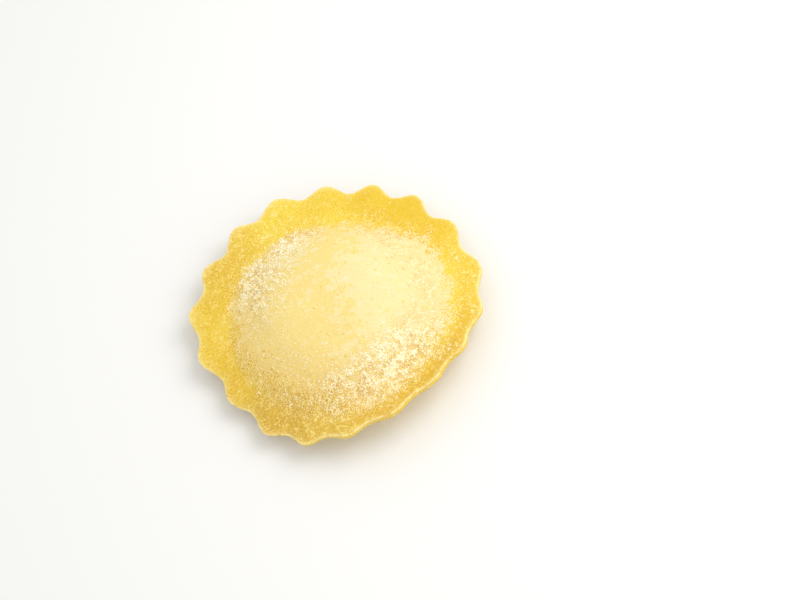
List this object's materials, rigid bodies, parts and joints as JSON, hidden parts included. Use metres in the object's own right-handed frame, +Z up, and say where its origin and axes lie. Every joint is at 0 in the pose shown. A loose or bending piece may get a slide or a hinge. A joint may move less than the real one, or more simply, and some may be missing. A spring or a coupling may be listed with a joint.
{
  "type": "ravioli",
  "caption": "Uncooked round filled pasta with a domed middle, a pressed rim with a fluted cut edge, and a dusting of semolina flour.",
  "frame": {"origin": "middle of the part's box in plan, on the flat spot that the belly rests on", "axes": "+Z up, the way the piece lies on a table with its floured side up; -Y towards the side of the rim that curls up, which faces the viewer in the picture"},
  "size_m": [0.064, 0.0624, 0.0146],
  "materials": {
    "egg_dough": "raw egg pasta dough, matt, saturated egg yellow on the rim, with pale caked flour and coarse semolina grains on the domed middle"
  },
  "bodies": {
    "root": {"raviolo": "egg_dough"}
  },
  "joints": []
}
